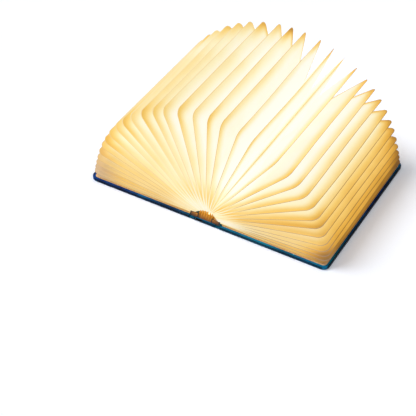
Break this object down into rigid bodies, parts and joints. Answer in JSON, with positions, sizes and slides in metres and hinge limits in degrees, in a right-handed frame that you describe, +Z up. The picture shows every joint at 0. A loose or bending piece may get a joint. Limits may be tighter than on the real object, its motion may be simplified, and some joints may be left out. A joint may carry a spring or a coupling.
{
  "type": "folding book lamp",
  "caption": "Folding lamp in the form of a hardcover book: opening the leather-covered case spreads a pleated paper fan lit from the spine.",
  "frame": {"origin": "middle of the open lamp's footprint, on the table", "axes": "+X along the open width toward the back cover, +Y along the spine away from the end with the charging socket, +Z up out of the open fan"},
  "size_m": [0.309, 0.21, 0.1503],
  "materials": {
    "leather_print": "printed blue leather with gold foil",
    "board": "grey bookbinding board",
    "lining": "white lining paper",
    "magnet": "nickel-plated magnet",
    "page_paper": "translucent folded paper, lit from inside",
    "amber_paper": "brown end paper, lit from inside",
    "cell": "foil pouch of the cell",
    "wire": "insulated wire",
    "circuit": "circuit board",
    "chip": "moulded sensor",
    "shell": "steel socket shell",
    "strip": "flexible diode strip",
    "diode": "warm white diodes"
  },
  "bodies": {
    "spine": {"spine_board": "board", "spine_wrap": "leather_print", "spine_liner": "lining", "battery_cell": "cell", "battery_leads": "wire", "control_board": "circuit", "opening_sensor": "chip", "charge_port": "shell", "led_strip": "strip", "leds": "diode", "led_leads": "wire", "page_band": "page_paper", "near_gusset": "amber_paper", "far_gusset": "amber_paper", "front_hinge_strip": "leather_print", "back_hinge_strip": "leather_print", "pleats_front": "page_paper", "pleats_back": "page_paper"},
    "front_cover": {"front_board": "board", "front_wrap": "leather_print", "front_endpaper": "lining", "front_magnets": "magnet"},
    "back_cover": {"back_board": "board", "back_wrap": "leather_print", "back_endpaper": "lining", "back_magnets": "magnet"},
    "page_01": {"page_01": "page_paper"},
    "page_02": {"page_02": "page_paper"},
    "page_03": {"page_03": "page_paper"},
    "page_04": {"page_04": "page_paper"},
    "page_05": {"page_05": "page_paper"},
    "page_06": {"page_06": "page_paper"},
    "page_07": {"page_07": "page_paper"},
    "page_08": {"page_08": "page_paper"},
    "page_09": {"page_09": "page_paper"},
    "page_10": {"page_10": "page_paper"},
    "page_11": {"page_11": "page_paper"},
    "page_12": {"page_12": "page_paper"},
    "page_13": {"page_13": "page_paper"},
    "page_14": {"page_14": "page_paper"},
    "page_15": {"page_15": "page_paper"},
    "page_16": {"page_16": "page_paper"},
    "page_17": {"page_17": "page_paper"},
    "page_18": {"page_18": "page_paper"},
    "page_19": {"page_19": "page_paper"},
    "page_20": {"page_20": "page_paper"},
    "page_21": {"page_21": "page_paper"},
    "page_22": {"page_22": "page_paper"},
    "page_23": {"page_23": "page_paper"},
    "page_24": {"page_24": "page_paper"},
    "page_25": {"page_25": "page_paper"},
    "page_26": {"page_26": "page_paper"},
    "page_27": {"page_27": "page_paper"},
    "page_28": {"page_28": "page_paper"},
    "page_29": {"page_29": "page_paper"},
    "page_30": {"page_30": "page_paper"},
    "page_31": {"page_31": "page_paper"},
    "page_32": {"page_32": "page_paper"},
    "page_33": {"page_33": "page_paper"}
  },
  "joints": [
    {"name": "front_fold", "type": "hinge", "parent": "spine", "child": "front_cover", "pos_m": [-0.013, 0, 0.0025], "axis": [0, 1, 0], "range_deg": [0, 90], "deforming": ["front_hinge_strip", "pleats_front", "pleats_back", "page_band", "near_gusset", "far_gusset"]},
    {"name": "back_fold", "type": "hinge", "parent": "spine", "child": "back_cover", "pos_m": [0.013, 0, 0.0025], "axis": [0, -1, 0], "range_deg": [0, 90], "deforming": ["back_hinge_strip"]},
    {"name": "page_01_turn", "type": "hinge", "parent": "spine", "child": "page_01", "pos_m": [-0.01419, 0, 0.0043], "axis": [0, 1, 0], "range_deg": [0, 88.51]},
    {"name": "page_02_turn", "type": "hinge", "parent": "spine", "child": "page_02", "pos_m": [-0.01374, 0, 0.00472], "axis": [0, 1, 0], "range_deg": [0, 86.32]},
    {"name": "page_03_turn", "type": "hinge", "parent": "spine", "child": "page_03", "pos_m": [-0.01331, 0, 0.00509], "axis": [0, 1, 0], "range_deg": [0, 83.56]},
    {"name": "page_04_turn", "type": "hinge", "parent": "spine", "child": "page_04", "pos_m": [-0.0129, 0, 0.00544], "axis": [0, 1, 0], "range_deg": [0, 80.4]},
    {"name": "page_05_turn", "type": "hinge", "parent": "spine", "child": "page_05", "pos_m": [-0.01256, 0, 0.00572], "axis": [0, 1, 0], "range_deg": [0, 76.17]},
    {"name": "page_06_turn", "type": "hinge", "parent": "spine", "child": "page_06", "pos_m": [-0.01227, 0, 0.00597], "axis": [0, 1, 0], "range_deg": [0, 71.45]},
    {"name": "page_07_turn", "type": "hinge", "parent": "spine", "child": "page_07", "pos_m": [-0.01201, 0, 0.00622], "axis": [0, 1, 0], "range_deg": [0, 66.98]},
    {"name": "page_08_turn", "type": "hinge", "parent": "spine", "child": "page_08", "pos_m": [-0.01189, 0, 0.00641], "axis": [0, 1, 0], "range_deg": [0, 61.57]},
    {"name": "page_09_turn", "type": "hinge", "parent": "spine", "child": "page_09", "pos_m": [-0.01198, 0, 0.00654], "axis": [0, 1, 0], "range_deg": [0, 55.09]},
    {"name": "page_10_turn", "type": "hinge", "parent": "spine", "child": "page_10", "pos_m": [-0.01218, 0, 0.0067], "axis": [0, 1, 0], "range_deg": [0, 49.27]},
    {"name": "page_11_turn", "type": "hinge", "parent": "spine", "child": "page_11", "pos_m": [-0.0126, 0, 0.00685], "axis": [0, 1, 0], "range_deg": [0, 43.38]},
    {"name": "page_12_turn", "type": "hinge", "parent": "spine", "child": "page_12", "pos_m": [-0.01377, 0, 0.0069], "axis": [0, 1, 0], "range_deg": [0, 35.94]},
    {"name": "page_13_turn", "type": "hinge", "parent": "spine", "child": "page_13", "pos_m": [-0.01579, 0, 0.00695], "axis": [0, 1, 0], "range_deg": [0, 28.7]},
    {"name": "page_14_turn", "type": "hinge", "parent": "spine", "child": "page_14", "pos_m": [-0.01883, 0, 0.00709], "axis": [0, 1, 0], "range_deg": [0, 22.46]},
    {"name": "page_15_turn", "type": "hinge", "parent": "spine", "child": "page_15", "pos_m": [-0.0265, 0, 0.00712], "axis": [0, 1, 0], "range_deg": [0, 15.04]},
    {"name": "page_16_turn", "type": "hinge", "parent": "spine", "child": "page_16", "pos_m": [-0.05613, 0, 0.00689], "axis": [0, 1, 0], "range_deg": [0, 6.83]},
    {"name": "page_17_sink", "type": "slide", "parent": "spine", "child": "page_17", "axis": [0, 0, -1], "range_m": [0, 0.00662]},
    {"name": "page_18_turn", "type": "hinge", "parent": "spine", "child": "page_18", "pos_m": [0.05613, 0, 0.00689], "axis": [0, -1, 0], "range_deg": [0, 6.83]},
    {"name": "page_19_turn", "type": "hinge", "parent": "spine", "child": "page_19", "pos_m": [0.0265, 0, 0.00712], "axis": [0, -1, 0], "range_deg": [0, 15.04]},
    {"name": "page_20_turn", "type": "hinge", "parent": "spine", "child": "page_20", "pos_m": [0.01883, 0, 0.00709], "axis": [0, -1, 0], "range_deg": [0, 22.46]},
    {"name": "page_21_turn", "type": "hinge", "parent": "spine", "child": "page_21", "pos_m": [0.01579, 0, 0.00695], "axis": [0, -1, 0], "range_deg": [0, 28.7]},
    {"name": "page_22_turn", "type": "hinge", "parent": "spine", "child": "page_22", "pos_m": [0.01377, 0, 0.0069], "axis": [0, -1, 0], "range_deg": [0, 35.94]},
    {"name": "page_23_turn", "type": "hinge", "parent": "spine", "child": "page_23", "pos_m": [0.0126, 0, 0.00685], "axis": [0, -1, 0], "range_deg": [0, 43.38]},
    {"name": "page_24_turn", "type": "hinge", "parent": "spine", "child": "page_24", "pos_m": [0.01218, 0, 0.0067], "axis": [0, -1, 0], "range_deg": [0, 49.27]},
    {"name": "page_25_turn", "type": "hinge", "parent": "spine", "child": "page_25", "pos_m": [0.01198, 0, 0.00654], "axis": [0, -1, 0], "range_deg": [0, 55.09]},
    {"name": "page_26_turn", "type": "hinge", "parent": "spine", "child": "page_26", "pos_m": [0.01189, 0, 0.00641], "axis": [0, -1, 0], "range_deg": [0, 61.57]},
    {"name": "page_27_turn", "type": "hinge", "parent": "spine", "child": "page_27", "pos_m": [0.01201, 0, 0.00622], "axis": [0, -1, 0], "range_deg": [0, 66.98]},
    {"name": "page_28_turn", "type": "hinge", "parent": "spine", "child": "page_28", "pos_m": [0.01227, 0, 0.00597], "axis": [0, -1, 0], "range_deg": [0, 71.45]},
    {"name": "page_29_turn", "type": "hinge", "parent": "spine", "child": "page_29", "pos_m": [0.01256, 0, 0.00572], "axis": [0, -1, 0], "range_deg": [0, 76.17]},
    {"name": "page_30_turn", "type": "hinge", "parent": "spine", "child": "page_30", "pos_m": [0.0129, 0, 0.00544], "axis": [0, -1, 0], "range_deg": [0, 80.4]},
    {"name": "page_31_turn", "type": "hinge", "parent": "spine", "child": "page_31", "pos_m": [0.01331, 0, 0.00509], "axis": [0, -1, 0], "range_deg": [0, 83.56]},
    {"name": "page_32_turn", "type": "hinge", "parent": "spine", "child": "page_32", "pos_m": [0.01374, 0, 0.00472], "axis": [0, -1, 0], "range_deg": [0, 86.32]},
    {"name": "page_33_turn", "type": "hinge", "parent": "spine", "child": "page_33", "pos_m": [0.01419, 0, 0.0043], "axis": [0, -1, 0], "range_deg": [0, 88.51]}
  ],
  "couplings": [
    {"joint": "back_fold", "follows": "front_fold", "ratio": 1},
    {"joint": "page_01_turn", "follows": "front_fold", "ratio": 0.98333},
    {"joint": "page_02_turn", "follows": "front_fold", "ratio": 0.95902},
    {"joint": "page_03_turn", "follows": "front_fold", "ratio": 0.92835},
    {"joint": "page_04_turn", "follows": "front_fold", "ratio": 0.89326},
    {"joint": "page_05_turn", "follows": "front_fold", "ratio": 0.84627},
    {"joint": "page_06_turn", "follows": "front_fold", "ratio": 0.79373},
    {"joint": "page_07_turn", "follows": "front_fold", "ratio": 0.74415},
    {"joint": "page_08_turn", "follows": "front_fold", "ratio": 0.68398},
    {"joint": "page_09_turn", "follows": "front_fold", "ratio": 0.61203},
    {"joint": "page_10_turn", "follows": "front_fold", "ratio": 0.54738},
    {"joint": "page_11_turn", "follows": "front_fold", "ratio": 0.48187},
    {"joint": "page_12_turn", "follows": "front_fold", "ratio": 0.39923},
    {"joint": "page_13_turn", "follows": "front_fold", "ratio": 0.31878},
    {"joint": "page_14_turn", "follows": "front_fold", "ratio": 0.24946},
    {"joint": "page_15_turn", "follows": "front_fold", "ratio": 0.16701},
    {"joint": "page_16_turn", "follows": "front_fold", "ratio": 0.075767},
    {"joint": "page_17_sink", "follows": "front_fold", "m_per_rad": 0.0042017},
    {"joint": "page_18_turn", "follows": "front_fold", "ratio": 0.075767},
    {"joint": "page_19_turn", "follows": "front_fold", "ratio": 0.16701},
    {"joint": "page_20_turn", "follows": "front_fold", "ratio": 0.24946},
    {"joint": "page_21_turn", "follows": "front_fold", "ratio": 0.31878},
    {"joint": "page_22_turn", "follows": "front_fold", "ratio": 0.39923},
    {"joint": "page_23_turn", "follows": "front_fold", "ratio": 0.48187},
    {"joint": "page_24_turn", "follows": "front_fold", "ratio": 0.54738},
    {"joint": "page_25_turn", "follows": "front_fold", "ratio": 0.61203},
    {"joint": "page_26_turn", "follows": "front_fold", "ratio": 0.68398},
    {"joint": "page_27_turn", "follows": "front_fold", "ratio": 0.74415},
    {"joint": "page_28_turn", "follows": "front_fold", "ratio": 0.79373},
    {"joint": "page_29_turn", "follows": "front_fold", "ratio": 0.84627},
    {"joint": "page_30_turn", "follows": "front_fold", "ratio": 0.89326},
    {"joint": "page_31_turn", "follows": "front_fold", "ratio": 0.92835},
    {"joint": "page_32_turn", "follows": "front_fold", "ratio": 0.95902},
    {"joint": "page_33_turn", "follows": "front_fold", "ratio": 0.98333}
  ]
}
